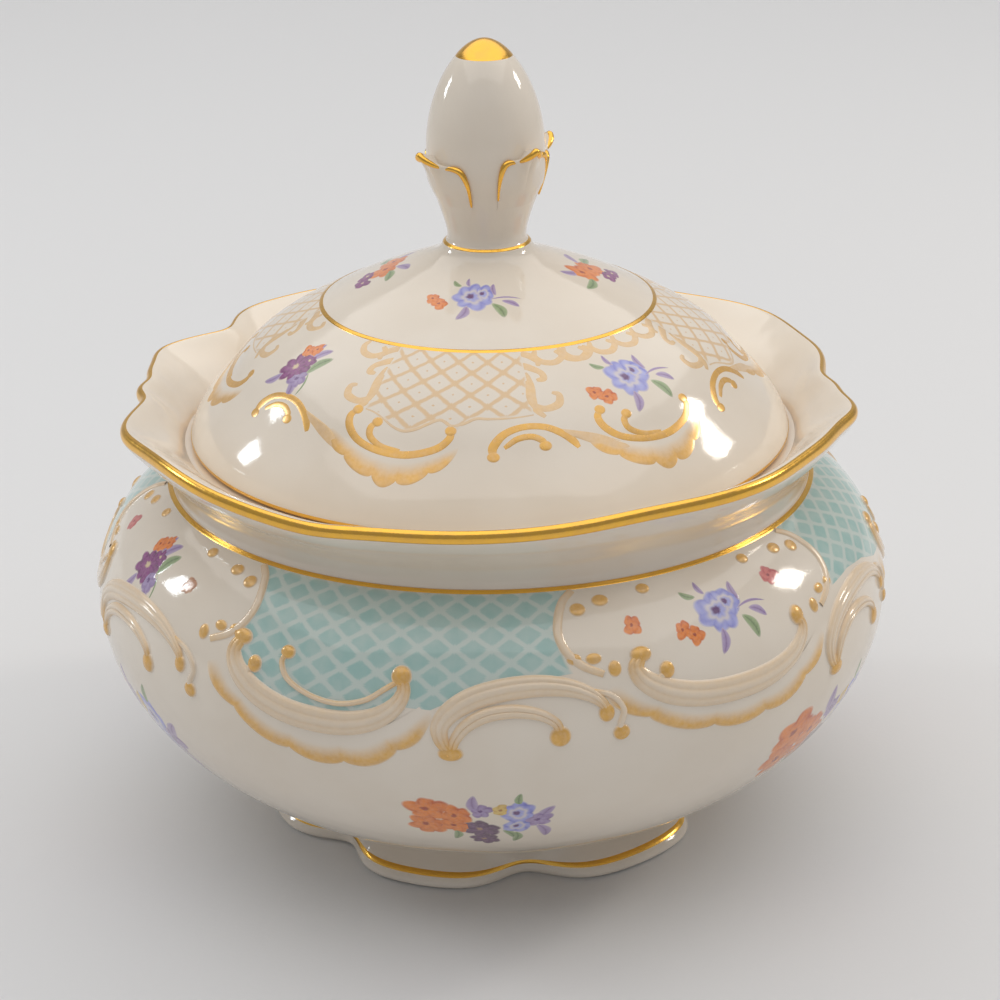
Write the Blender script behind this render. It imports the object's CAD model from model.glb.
from math import cos, pi, radians, sin

import bmesh
import bpy
import numpy as np
from mathutils import Matrix, Vector


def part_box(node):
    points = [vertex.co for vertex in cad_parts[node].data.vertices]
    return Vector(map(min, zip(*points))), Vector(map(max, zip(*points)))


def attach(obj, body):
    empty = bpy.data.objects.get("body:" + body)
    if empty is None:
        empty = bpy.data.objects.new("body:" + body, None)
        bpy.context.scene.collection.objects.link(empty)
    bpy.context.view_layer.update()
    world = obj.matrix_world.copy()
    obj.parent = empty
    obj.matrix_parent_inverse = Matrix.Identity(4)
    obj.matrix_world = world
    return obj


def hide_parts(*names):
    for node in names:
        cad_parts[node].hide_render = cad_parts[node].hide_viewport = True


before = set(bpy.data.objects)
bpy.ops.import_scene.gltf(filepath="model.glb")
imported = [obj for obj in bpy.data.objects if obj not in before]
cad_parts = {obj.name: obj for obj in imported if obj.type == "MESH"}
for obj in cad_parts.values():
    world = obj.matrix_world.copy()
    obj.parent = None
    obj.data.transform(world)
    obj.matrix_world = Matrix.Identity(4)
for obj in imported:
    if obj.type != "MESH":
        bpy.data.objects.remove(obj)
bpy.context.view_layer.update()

bl_info = {
    "name": "Painted Sugar Bowl",
    "version": (1, 0, 0),
    "blender": (4, 5, 0),
    "location": "3D View > Sidebar > Sugar Bowl",
    "description": "Glazed, relief-moulded and painted surfaces of a covered porcelain sugar bowl",
    "category": "Add Mesh",
}

# Sizes are millimetres and degrees. Azimuths run from the front (-Y) towards +X.
MM = 0.001


def top(node):
    """Highest point of a CAD node, in millimetres."""
    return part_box(node)[1].z / MM


def bottom(node):
    """Lowest point of a CAD node, in millimetres."""
    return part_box(node)[0].z / MM


GOLD_SKIN = 0.12
FLANGE_DEPTH = 7.0
JOINT_Z = top("foot_ring")
LIP_Z = top("rim_gilding") - GOLD_SKIN
COLLAR_Z = bottom("finial")
TIP_Z = top("finial")
LID_Z = bottom("lid_dome") + FLANGE_DEPTH

# How far the edges of relief sink under the glaze, and how far paint and flowers lie above it.
SINK = 0.03
PAINT_LIFT = 0.02
FLOWER_LIFT = 0.025
# Pulls of the belly's curve: out and up from the joint, down and up from its widest place, and out from
# the neck. Inside: down from the mouth, up from the widest place and out over the floor.
JOINT_PULL = (12.5, 1.25)
LOW_PULL = 16.0
HIGH_PULL = 12.1
NECK_PULL = 5.1
MOUTH_PULL = 4.25
INNER_PULL = 8.7
FLOOR_PULL = 20.0
# Pulls of the bud's curve: up from the stem, down and up from its fullest place, and out from the tip.
STEM_PULL = 2.9
BUD_PULL = 6.0
CROWN_PULL = 9.6
TIP_PULL = 4.0
# Columns round the axis: of large pieces, of plain lines, of skins and leaves, of the finial and of its cap.
WIDE_COLUMNS = 400
LINE_COLUMNS = 480
FINE_COLUMNS = 720
BUD_COLUMNS = 160
CAP_COLUMNS = 96


def srgb(red, green, blue):
    """Linear colour of an 8-bit colour."""
    shares = np.array([red, green, blue]) / 255
    linear = np.where(shares <= 0.04045, shares / 12.92, ((shares + 0.055) / 1.055) ** 2.4)
    return tuple(float(share) for share in linear)


# --- property groups: sizes and colours


def size(name, value, measure="millimetres"):
    """Property of one size."""
    return bpy.props.FloatProperty(name=name, description=f"{name}, in {measure}", default=value)


def colour(name, *channels):
    """Property of one colour, from its 8-bit channels."""
    return bpy.props.FloatVectorProperty(
        name=name, description=f"{name}, as a linear colour", subtype="COLOR", size=3, min=0.0, max=1.0,
        default=srgb(*channels),
    )


class SugarBowlSizes(bpy.types.PropertyGroup):
    """Driving sizes of the two pieces of porcelain."""

    foot_top_r: size("Foot radius at the joint", 33.5)
    foot_lobe_r: size("Foot reach at a lobe", 38.7)
    foot_notch: size("Depth of a foot notch", 5.4)
    foot_notch_width: size("Half width of a foot notch", 10.5, "degrees")
    foot_wall: size("Foot wall", 3.0)
    belly_r: size("Belly radius", 65.0)
    belly_rise: size("Joint to the widest place", 32.3)
    shoulder_rise: size("Widest place to the neck", 19.9)
    neck_r: size("Neck radius", 52.1)
    body_wall: size("Body wall", 3.4)
    floor_thick: size("Floor thickness", 3.6)
    floor_r: size("Flat of the floor", 22.0)
    rim_r: size("Mean reach of the rim", 59.8)
    rim_oval: size("Oval of the rim", 1.8)
    rim_oval_at: size("Azimuth of the oval", -9.0, "degrees")
    seat_drop: size("Lip to the lid's seat", 6.5)
    seat_r: size("Foot of the flare inside", 49.7)
    seat_bore_r: size("Mouth radius", 47.2)
    lid_r: size("Lid radius", 48.8)
    lid_shoulder_r: size("Dome radius at its shoulder", 40.7)
    lid_shoulder_rise: size("Rise of the shoulder", 12.0)
    lid_ring_r: size("Radius of the gold ring", 26.8)
    lid_ring_rise: size("Rise of the gold ring", 21.7)
    lid_cove_r: size("Cove radius", 11.5)
    lid_cove_rise: size("Rise of the cove", 28.3)
    lid_wall: size("Lid wall", 3.2)
    flange_r: size("Flange radius", 46.4)
    flange_wall: size("Flange wall", 2.8)
    flange_depth: size("Flange depth", FLANGE_DEPTH)
    collar_r: size("Collar radius", 7.1)
    stem_r: size("Stem radius", 6.3)
    stem_rise: size("Collar to the stem", 1.3)
    bud_r: size("Bud radius", 9.4)
    bud_rise: size("Collar to the fullest place", 15.2)
    leaf_reach: size("Reach of a leaf tip", 12.2)
    relief: size("Height of the moulded scrolls", 0.75)
    gilt: size("Height of the gold on the glaze", 0.06)
    line: size("Width of a gold line", 1.1)
    rim_gilt: size("Gold on the rim, from the top", 2.0)
    rim_gilt_over: size("Gold on the rim, in over the lip", 1.2)


class SugarBowlColours(bpy.types.PropertyGroup):
    """Colours of the glaze, the gold and the enamels."""

    porcelain: colour("Porcelain", 238, 227, 211)
    shade: colour("Porcelain, clouded", 227, 212, 191)
    gold: colour("Burnished gold", 247, 192, 84)
    dab: colour("Matt gold of dabs and lines", 224, 175, 100)
    turquoise: colour("Trellis ground", 162, 196, 189)
    net: colour("Trellis net", 210, 217, 208)
    floor: colour("Floor", 222, 222, 222)


# --- shader graphs


class Signal:
    """Output of a shader node that takes part in arithmetic: each operator adds one Math node."""

    def __init__(self, graph, socket):
        self.graph = graph
        self.socket = socket

    def math(self, operation, *others):
        return self.graph.node("ShaderNodeMath", dict(enumerate((self, *others))), operation=operation)

    def __add__(self, other):
        return self.math("ADD", other)

    def __sub__(self, other):
        return self.math("SUBTRACT", other)

    def __rsub__(self, other):
        return self.graph.node("ShaderNodeMath", {0: other, 1: self}, operation="SUBTRACT")

    def __mul__(self, other):
        return self.math("MULTIPLY", other)

    __radd__ = __add__
    __rmul__ = __mul__

    def unit(self):
        """The signal, kept between 0 and 1."""
        return self.math("MINIMUM", 1.0).math("MAXIMUM", 0.0)

    def step(self, low, high):
        """Smooth step from 0 at low to 1 at high, or falling where low is above high."""
        return self.graph.node(
            "ShaderNodeMapRange",
            {"Value": self, "From Min": low, "From Max": high},
            interpolation_type="SMOOTHSTEP",
        )


class Graph:
    """Material with one Principled shader, whose nodes are added by calls."""

    def __init__(self, name):
        self.material = bpy.data.materials.new(name)
        self.material.use_nodes = True
        self.tree = self.material.node_tree
        self.shader = self.tree.nodes["Principled BSDF"]

    def node(self, kind, inputs=(), output=0, **settings):
        made = self.tree.nodes.new(kind)
        for key, value in settings.items():
            setattr(made, key, value)
        for key, value in dict(inputs).items():
            self.connect(made.inputs[key], value)
        return Signal(self, made.outputs[output])

    def connect(self, socket, value):
        if isinstance(value, Signal):
            self.tree.links.new(value.socket, socket)
        elif hasattr(value, "__len__") and len(value) == 3 and socket.type == "RGBA":
            socket.default_value = (*value, 1.0)
        else:
            socket.default_value = value

    def mix(self, factor, low, high):
        """Colour between two colours."""
        return self.node("ShaderNodeMix", {0: factor, 6: low, 7: high}, output=2, data_type="RGBA")

    def noise(self, scale, detail=3.0):
        """Noise over the Object coordinates, scale in waves per metre."""
        place = self.node("ShaderNodeTexCoord", output="Object")
        return self.node("ShaderNodeTexNoise", {"Vector": place, "Scale": scale, "Detail": detail})

    def attribute(self, name, output="Fac"):
        return self.node("ShaderNodeAttribute", output=output, attribute_name=name)

    def bump(self, height, strength, distance):
        return self.node("ShaderNodeBump", {"Height": height, "Strength": strength, "Distance": distance})

    def finish(self, **sockets):
        for name, value in sockets.items():
            self.connect(self.shader.inputs[name.replace("_", " ")], value)
        return self.material


class Glazed(Graph):
    """Clear-glazed porcelain, faintly cloudy and gently wavy, which paint or gold may cover."""

    def __init__(self, name, colours):
        super().__init__(name)
        cloud = self.noise(60.0).step(0.3, 0.7)
        self.base = self.mix(cloud * 0.35, colours.porcelain, colours.shade)
        self.roughness = self.noise(900.0).step(0.2, 0.8) * 0.03 + 0.07
        waves = self.noise(140.0, 1.0) + self.noise(2600.0, 2.0) * 0.05
        self.normal = self.bump(waves, 0.25, 0.0006)

    def glazed(self, base=None, roughness=None, metallic=0.0):
        """Material, where what isn't given is that of the bare glaze."""
        return self.finish(
            Base_Color=base or self.base, Roughness=roughness or self.roughness, Metallic=metallic,
            Normal=self.normal, IOR=1.5, Coat_Weight=0.15, Coat_Roughness=0.04,
        )


def porcelain_material(colours):
    """Bare glazed porcelain."""
    return Glazed("porcelain_glaze", colours).glazed()


def relief_material(colours, shine):
    """Porcelain that turns to soft gold by the attribute "gilt", brushed on unevenly."""
    graph = Glazed("brushed_gold_on_glaze", colours)
    uneven = (graph.noise(1500.0) - 0.5) * graph.attribute("gilt")
    gilt = (graph.attribute("gilt") + uneven * 0.5).unit()
    tone = graph.mix(graph.noise(700.0).step(0.3, 0.7) * 0.4, colours.dab, colours.gold)
    return graph.glazed(graph.mix(gilt, graph.base, tone), graph.roughness + gilt * 0.18, gilt * gilt * shine)


def gold_material(colours):
    """Burnished gold with fine brush marks."""
    graph = Graph("fired_gold")
    worn = graph.noise(500.0).step(0.35, 0.75)
    base = graph.mix(worn * 0.4, colours.gold, colours.dab)
    roughness = graph.noise(1100.0) * 0.2 + 0.12
    normal = graph.bump(graph.noise(1500.0, 2.0), 0.3, 0.00005)
    return graph.finish(Base_Color=base, Metallic=1.0, Roughness=roughness, Normal=normal)


def enamel_material(colours):
    """Painted enamel: the attribute "paint" holds its colour, and "cover" how much hides the glaze."""
    graph = Glazed("painted_enamel", colours)
    streaks = graph.noise(2400.0, 2.0).step(0.25, 0.8)
    cover = graph.attribute("cover") * (streaks * 0.12 + 0.88)
    painted = graph.mix(cover, graph.base, graph.attribute("paint", "Color"))
    return graph.glazed(painted, graph.roughness + cover * 0.05)


def net_lines(graph, line, knot, dot):
    """Diagonal net over the UV map, one diamond per unit: how much of a point is a line, knot or dot."""
    place = {"Vector": graph.node("ShaderNodeUVMap")}
    across, upward = (graph.node("ShaderNodeSeparateXYZ", place, output=axis) for axis in "XY")
    sway = (graph.noise(900.0) - 0.5) * 0.12
    rising = ((across + upward + sway).math("FRACT") - 0.5).math("ABSOLUTE")
    falling = ((across - upward + sway).math("FRACT") - 0.5).math("ABSOLUTE")
    nearest = rising.math("MAXIMUM", falling)
    both = rising.math("MINIMUM", falling)
    lines = nearest.step(0.5 - line, 0.5 - 0.35 * line)
    knots = both.step(0.5 - knot, 0.5 - 0.5 * knot)
    return lines.math("MAXIMUM", knots).math("MAXIMUM", nearest.step(dot, 0.5 * dot))


def trellis_material(colours):
    """Turquoise ground with a paler net, a thicker knot at each crossing and brushed edges."""
    graph = Glazed("turquoise_trellis", colours)
    net = net_lines(graph, 0.17, 0.24, 0.0001)
    wash = graph.noise(350.0).step(0.25, 0.75)
    ground = graph.mix(wash * 0.35, colours.turquoise, colours.net)
    painted = graph.mix(net * 0.75, ground, colours.net)
    return graph.glazed(graph.mix(graph.attribute("cover"), graph.base, painted))


def lattice_material(colours):
    """Gold net on the bare glaze, with a dot in each diamond."""
    graph = Glazed("gold_lattice", colours)
    gilt = net_lines(graph, 0.14, 0.2, 0.06) * graph.attribute("cover") * 0.6
    return graph.glazed(graph.mix(gilt, graph.base, colours.dab), graph.roughness + gilt * 0.2, gilt * 0.1)


def floor_material(colours):
    """Pale card with a fine tooth."""
    graph = Graph("pale_floor")
    tooth = graph.noise(1200.0)
    base = graph.mix(tooth * 0.06, colours.floor, (0.6, 0.6, 0.6))
    return graph.finish(Base_Color=base, Roughness=0.6, Normal=graph.bump(tooth, 0.1, 0.0002))


# --- curves and surfaces


def row(count, low=0, high=1):
    """Evenly spaced numbers across a grid."""
    return np.linspace(low, high, count)[None]


def column(count, low=0, high=1):
    """Evenly spaced numbers up a grid."""
    return np.linspace(low, high, count)[:, None]


def unit(values):
    """Values, kept between 0 and 1."""
    return np.clip(values, 0, 1)


def bezier(*corners, count=50):
    """Bezier curve by repeated blending of neighbouring corners."""
    share = column(count)
    points = [np.array(corner, float)[None] for corner in corners]
    while len(points) > 1:
        points = [(1 - share) * low + share * high for low, high in zip(points[:-1], points[1:])]
    return points[0]


def smooth(points, count):
    """Catmull-Rom curve: cubics between points, whose slopes are half the span of their neighbours."""
    points = np.array(points, float)
    padded = np.vstack([2 * points[0] - points[1], points, 2 * points[-1] - points[-2]])
    place = np.linspace(0, len(points) - 1, count)
    first = np.minimum(place.astype(int), len(points) - 2)
    t = (place - first)[:, None]
    before, low, high, after = (padded[first + step] for step in range(4))
    cubic = 2 * before - 5 * low + 4 * high - after + (3 * low - before - 3 * high + after) * t
    return low + 0.5 * t * (high - before + t * cubic)


def bump(azimuth, centre, width):
    """Smooth hump of height one, the same after a full turn."""
    away = (azimuth - centre + 180) % 360 - 180
    return np.exp(-((away / width) ** 2))


def humps(azimuth, items):
    """Sum of humps, each given by its azimuth, height and width."""
    return sum(reach * bump(azimuth, at, width) for at, reach, width in items)


class Turned:
    """Turned surface, read by azimuth and by the distance along its profile."""

    def __init__(self, profile):
        steps = np.hypot(*np.diff(profile, axis=0).T)
        keep = np.concatenate([[True], steps > 1e-6])
        self.radii, self.heights = profile[keep].T
        self.run = np.concatenate([[0.0], np.cumsum(steps[keep[1:]])])
        self.out_r = np.gradient(self.heights, self.run)
        self.out_z = -np.gradient(self.radii, self.run)
        self.length = self.run[-1]

    def radius(self, along):
        return np.interp(along, self.run, self.radii)

    def degrees(self, width, along):
        """Degrees round the axis that a width spans at a distance."""
        return width / np.radians(1) / self.radius(along)

    def place(self, azimuth, along, lift=0.0):
        """Points at azimuths and distances, moved out by a lift."""
        radius = self.radius(along) + lift * np.interp(along, self.run, self.out_r)
        height = np.interp(along, self.run, self.heights) + lift * np.interp(along, self.run, self.out_z)
        return around(azimuth, radius, height)


def around(azimuth, radius, height):
    """Points at azimuths, radii and heights."""
    angle, radius, height = np.broadcast_arrays(np.radians(azimuth), radius, height)
    return np.stack([radius * np.sin(angle), -radius * np.cos(angle), height], axis=-1)


def belly_profile(s):
    """Outside of the belly from the joint with the foot up to the crease at the neck."""
    widest_z = JOINT_Z + s.belly_rise
    neck_z = widest_z + s.shoulder_rise
    widest = (s.belly_r, widest_z)
    root = (s.foot_top_r, JOINT_Z)
    over_joint = (s.foot_top_r + JOINT_PULL[0], JOINT_Z + JOINT_PULL[1])
    low = bezier(root, over_joint, (s.belly_r, widest_z - LOW_PULL), widest)
    under_neck = (s.neck_r + NECK_PULL, neck_z - 0.5 * NECK_PULL)
    high = bezier(widest, (s.belly_r, widest_z + HIGH_PULL), under_neck, (s.neck_r, neck_z))
    return np.vstack([low, high[1:]])


def lid_edge_top(s):
    """Where the lid's rounded edge meets its dome."""
    return s.lid_r - 0.25, LID_Z + 1.4


def dome_profile(s):
    """Outside of the lid from its edge up to the collar of the finial."""
    knots = (
        (*lid_edge_top(s), -0.3, 1.0),
        (s.lid_shoulder_r, LID_Z + s.lid_shoulder_rise, -0.78, 1.0),
        (s.lid_ring_r, LID_Z + s.lid_ring_rise, -1.0, 0.52),
        (s.lid_cove_r, LID_Z + s.lid_cove_rise, -1.0, 0.36),
        (s.collar_r, COLLAR_Z, -0.3, 1.0),
    )
    runs = []
    for (r0, z0, tr0, tz0), (r1, z1, tr1, tz1) in zip(knots[:-1], knots[1:]):
        pull = np.hypot(r1 - r0, z1 - z0) / 3
        low = pull / np.hypot(tr0, tz0)
        high = pull / np.hypot(tr1, tz1)
        inner = (r0 + tr0 * low, z0 + tz0 * low), (r1 - tr1 * high, z1 - tz1 * high)
        runs.append(bezier((r0, z0), *inner, (r1, z1), count=30))
    return np.vstack([runs[0]] + [run[1:] for run in runs[1:]])


def lid_edge_profile(s, count):
    """Underside of the lid from its flange, and the rounded edge up to the dome."""
    under = (s.flange_r, LID_Z), (s.lid_r - 0.6, LID_Z), (s.lid_r + 0.15, LID_Z)
    return bezier(*under, lid_edge_top(s), count=count)


def bud_profile(s):
    """Outside of the finial from its collar to the tip."""
    stem_z = COLLAR_Z + s.stem_rise
    full_z = COLLAR_Z + s.bud_rise
    narrow, full = (s.stem_r, stem_z), (s.bud_r, full_z)
    stem = bezier((s.collar_r, COLLAR_Z), (s.stem_r, COLLAR_Z + 0.4 * s.stem_rise), narrow, count=10)
    low = bezier(narrow, (s.stem_r, stem_z + STEM_PULL), (s.bud_r, full_z - BUD_PULL), full, count=40)
    crown = bezier(full, (s.bud_r, full_z + CROWN_PULL), (TIP_PULL, TIP_Z), (0.0, TIP_Z), count=40)
    return np.vstack([stem, low[1:], crown[1:]])


# --- meshes


# Values that a patch can carry at its points, with how many numbers each has.
LAYERS = {"gilt": 1, "cover": 1, "paint": 4, "uv": 2}
SHARP_ANGLE = radians(40)
WELD = 1e-7


def patch(points, flip=False, **layers):
    """Grid of points in millimetres: columns to the right and rows upwards from outside, or flipped."""
    made = {"points": points}
    for name, values in layers.items():
        if name == "paint":
            values = np.concatenate([values, np.ones_like(values[..., :1])], axis=-1)
        last = (LAYERS[name],) if LAYERS[name] > 1 else ()
        made[name] = np.broadcast_to(values, (*points.shape[:2], *last))
    return {name: values[::-1] for name, values in made.items()} if flip else made


def quads(rows, columns):
    """Corner numbers of a grid's faces."""
    ids = np.arange(rows * columns).reshape(rows, columns)
    return np.stack([ids[:-1, :-1], ids[:-1, 1:], ids[1:, 1:], ids[1:, :-1]], axis=-1).reshape(-1, 4)


def build(name, body, slot, patches, material, *replaces):
    """One object from patches: joined, welded at seams and poles, shaded smooth and riding on its body."""
    faces = []
    start = 0
    for part in patches:
        rows, columns = part["points"].shape[:2]
        faces.append(quads(rows, columns) + start)
        start += rows * columns
    points = np.concatenate([part["points"].reshape(-1, 3) for part in patches]) * MM
    corners = np.concatenate(faces)
    mesh = bpy.data.meshes.new(name)
    mesh.from_pydata(points.tolist(), [], corners.tolist())
    for key, width in LAYERS.items():
        if key not in patches[0]:
            continue
        flat = np.concatenate([part[key].reshape(-1, width) for part in patches])
        if key == "uv":
            mesh.uv_layers.new(name="UVMap").data.foreach_set("uv", flat[corners.ravel()].ravel())
        else:
            kind, channel = ("FLOAT_COLOR", "color") if key == "paint" else ("FLOAT", "value")
            mesh.attributes.new(key, kind, "POINT").data.foreach_set(channel, flat.ravel())
    cleaned = bmesh.new()
    cleaned.from_mesh(mesh)
    bmesh.ops.remove_doubles(cleaned, verts=cleaned.verts, dist=WELD)
    cleaned.to_mesh(mesh)
    cleaned.free()
    mesh.shade_smooth()
    mesh.set_sharp_from_angle(angle=SHARP_ANGLE)
    mesh.materials.append(material)
    piece = bpy.data.objects.new(name, mesh)
    bpy.context.scene.collection.objects.link(piece)
    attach(piece, body)
    if replaces:
        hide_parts(*replaces)


def turn(count):
    """Azimuths of a full turn, first and last the same."""
    return np.linspace(-180.0, 180.0, count + 1)


def shell(profile, wave=None, columns=LINE_COLUMNS, rise=None):
    """Closed surface from rows of radius, height and share of a wave, swept round the axis."""
    azimuth = turn(columns)[None]
    radius, height, share = profile.T[:, :, None]
    if wave is not None:
        radius = radius + share * wave(azimuth)
    if rise is not None:
        height = height + share * rise(azimuth)
    return patch(around(azimuth, radius, height))


def with_share(profile):
    """Profile that no wave moves."""
    return np.column_stack([profile, np.zeros(len(profile))])


# --- rim and foot

RIM_SCALLOPS = (
    (-150, 3.4, 11), (-137, 2.4, 8), (-126, -2.2, 5), (-112, 2.8, 7), (-102, 0.6, 4), (-93, 1.9, 4),
    (-91, -2.1, 9), (-74, 1.8, 8), (-24, 0.7, 6), (22, -0.9, 10), (56, -0.7, 9), (79, 1.8, 6), (90, 0.9, 4),
    (94, -2.5, 9), (108, 0.5, 8), (129, 2.7, 12), (146, -0.4, 7), (166, 1.4, 8),
)
FOOT_NOTCHES_AT = (-47, 8, 71, 131, 190, 251)

RIM_RISES = ((24, 0.8, 20), (-29, -0.4, 9), (-56, 0.5, 9))


def rim_wave(s):
    """How far the lip stands out from its mean circle: an oval and a list of humps."""

    def wave(azimuth):
        oval = s.rim_oval * np.cos(np.radians(2 * (azimuth - s.rim_oval_at)))
        return oval + humps(azimuth, RIM_SCALLOPS)

    return wave


def rim_rise(azimuth):
    """How far the lip is above its mean height."""
    return humps(azimuth, RIM_RISES)


def foot_wave(s):
    """How far the hem draws in from its lobes."""

    def wave(azimuth):
        return -s.foot_notch * sum(bump(azimuth, at, s.foot_notch_width) for at in FOOT_NOTCHES_AT)

    return wave


# Flare from the neck to the rim, and dish from the lip to the seat, in shares of their reach and height,
# with the share of the wave.
FLARE_KNOTS = (
    (0, 0, 0), (0.11, 0.2, 0.08), (0.39, 0.41, 0.38), (0.73, 0.62, 0.74), (0.95, 0.8, 0.95), (1, 0.92, 1),
)
DISH_KNOTS = ((0.06, 0, 1), (0.19, 0.05, 0.97), (0.43, 0.28, 0.7), (0.74, 0.64, 0.28), (1, 1, 0))


def rim_profile(s):
    """Rows of radius, height and share up the flare, over the lip and down to the seat."""
    neck_z = JOINT_Z + s.belly_rise + s.shoulder_rise
    cove_z = neck_z + 1.4
    rise = LIP_Z - cove_z
    flare = s.rim_r - s.neck_r
    inside = s.rim_r - s.seat_r
    root = [(s.neck_r, neck_z, 0.0)]
    up = [(s.neck_r + out * flare, cove_z + high * rise, share) for out, high, share in FLARE_KNOTS]
    down = [(s.rim_r - back * inside, LIP_Z - drop * s.seat_drop, share) for back, drop, share in DISH_KNOTS]
    return smooth(root + up + down, 78)


def foot_profile(s):
    """Rows of radius, height and share up the outside of the skirt."""
    flare = s.foot_lobe_r - s.foot_top_r
    knots = (
        (s.foot_lobe_r - 0.8, 0.0, 1.0),
        (s.foot_lobe_r, 0.11 * JOINT_Z, 1.0),
        (s.foot_lobe_r - 0.12 * flare, 0.26 * JOINT_Z, 0.92),
        (s.foot_top_r + 0.45 * flare, 0.50 * JOINT_Z, 0.55),
        (s.foot_top_r + 0.12 * flare, 0.75 * JOINT_Z, 0.18),
        (s.foot_top_r, JOINT_Z, 0.0),
    )
    return smooth(knots, 26)


def skin_band(profile, wave, keep, lift, rise=None):
    """Gold skin over the kept rows of a wavy profile, lifted along the profile's normal."""
    out = np.column_stack([np.gradient(profile[:, 1]), -np.gradient(profile[:, 0])])
    out /= np.linalg.norm(out, axis=1)[:, None]
    rows = profile[keep]
    raised = np.full(len(rows), lift)
    raised[[0, -1]] = -lift
    rows[:, :2] += out[keep] * raised[:, None]
    return shell(rows, wave, FINE_COLUMNS, rise)


def line_band(surface, along, width, lift):
    """Gold line round a turned surface, its edges sunk into the glaze."""
    across = column(7, -1)
    height = lift * (2 * np.sqrt(np.maximum(0, 1 - across**4)) - 1)
    return patch(surface.place(turn(LINE_COLUMNS)[None], along + 0.5 * width * across, height))


# --- strokes, dabs and fringes on a turned surface


def stroke(surface, at, path, height, gilt, stretch=1.0, ridges=0, steps=56):
    """Raised band along a path of azimuth, distance and width: an arch across it, fluted by ridges."""
    line = smooth(path, steps)
    line[:, 0] = line[:, 0] * stretch + at
    radius = surface.radius(line[:, 1])
    ahead = np.column_stack([np.gradient(line[:, 0]) * np.radians(1) * radius, np.gradient(line[:, 1])])
    ahead /= np.linalg.norm(ahead, axis=1)[:, None]
    across = np.linspace(1, -1, 9 + 6 * ridges)
    offset = 0.5 * line[:, 2:3] * across[None]
    azimuth = line[:, 0:1] - surface.degrees(offset * ahead[:, 1:2], line[:, 1:2])
    along = line[:, 1:2] + offset * ahead[:, 0:1]
    share = column(steps)
    arch = np.sqrt(np.maximum(0, 1 - across**2))[None] * np.sin(pi * (0.08 + 0.84 * share)) ** 0.35
    groove = (1 - np.abs(np.sin(0.5 * pi * ridges * (across + 1))) ** 0.6)[None] * (ridges > 0)
    lift = height * arch * (1 - 0.3 * groove) - SINK
    tint = unit(gilt(share, across[None]) + 0.16 * groove * (1 - across[None] ** 6))
    return patch(surface.place(azimuth.T, along.T, lift.T), gilt=tint.T)


def dab(surface, azimuth, along, wide, tall, height, tint=0.95):
    """Oval touch of soft gold: a low cushion on the surface, fading at its edge."""
    ring = column(9)
    angle = row(25, 0, 2 * pi)
    spot = azimuth + surface.degrees(ring * np.cos(angle) * wide, along)
    lift = height * (1 - ring**2) ** 0.6 - SINK * ring**4
    points = surface.place(spot, along + ring * np.sin(angle) * tall, lift)
    return patch(points, flip=True, gilt=tint * unit((1 - ring) / 0.2))


def fringe(surface, at, root, edge, lobes, height, gold, scallop=0.18):
    """Shell fringe between a root line and an edge line: scalloped, cupped, and gold towards its edge."""
    steps = 24 * lobes + 1
    share = np.linspace(0, 1, steps)
    low = smooth(edge, steps)
    high = smooth(root, steps)
    lobe = np.abs(np.sin(pi * lobes * share)) ** 0.7
    reach = (1 - scallop + scallop * lobe)[:, None]
    out = row(15)
    azimuth = at + high[:, 0:1] + (low[:, 0:1] - high[:, 0:1]) * reach * out
    along = high[:, 1:2] + (low[:, 1:2] - high[:, 1:2]) * reach * out
    cup = height * (0.25 + 0.75 * out**2) * unit(6 * (1 - out)) ** 0.5 * (0.6 + 0.4 * lobe[:, None])
    ends = unit(10 * np.minimum(share, 1 - share))[:, None]
    gilt = unit((out - 1 + gold) / (0.6 * gold)) * unit((1.02 - out) / 0.1) * ends
    lift = cup * ends - SINK * out**4
    return patch(surface.place(azimuth.T, along.T, lift.T), flip=True, gilt=0.9 * gilt.T)


def plain_gilt(tint):
    """Tint of a stroke that is the same all over."""
    return lambda share, across: tint


def edge_gilt(base, edges, ends):
    """Tint of a stroke: it grows towards both edges, and turns to gold at its two ends."""

    def tint(share, across):
        tips = unit(1 - np.minimum(share, 1 - share) / 0.2)
        inside = unit((1 - np.abs(across)) / 0.12)
        return unit(base + edges * np.abs(across) ** 2 + ends * tips**1.3) * inside

    return tint


# Moulded scroll with a shell fringe under it: azimuth from its middle, distance up the belly, width.
SHELL_BAND = (
    (-12.4, 60.6, 2.0), (-13.2, 58.4, 2.8), (-11.9, 55.8, 3.5), (-8.8, 53.4, 4.0), (-4.5, 51.8, 4.1),
    (0.3, 51.2, 4.1), (5.0, 51.4, 3.9), (8.8, 52.6, 3.4), (11.4, 54.6, 2.8), (12.6, 56.9, 2.2),
    (12.3, 58.9, 1.8),
)
SHELL_INNER = (
    (-4.7, 60.1, 1.0), (-5.1, 58.6, 1.0), (-3.8, 56.4, 1.0), (-0.5, 54.8, 0.9), (3.6, 54.2, 0.9),
    (7.4, 55.2, 0.9), (10.0, 57.1, 0.9), (12.0, 58.6, 0.9),
)
SHELL_HOOK = ((-9.6, 57.2, 1.2), (-10.2, 56.0, 1.2), (-9.4, 54.6, 1.0), (-7.0, 53.3, 0.7))
SHELL_ROOT = (
    (-14.0, 57.0), (-10.5, 53.6), (-5.0, 50.6), (0.3, 49.6), (5.5, 50.0), (10.0, 51.6), (15.5, 55.5),
)
SHELL_EDGE = (
    (-18.6, 55.4), (-14.2, 50.2), (-6.4, 45.6), (0.5, 43.9), (7.4, 44.4), (13.6, 48.2), (17.0, 53.4),
)
SHELL_DABS = ((-12.3, 60.8, 1.8, 1.3), (-9.3, 57.4, 1.3, 1.4), (12.2, 59.2, 1.6, 1.7), (-4.5, 60.3, 1.3, 1.1))
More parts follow.
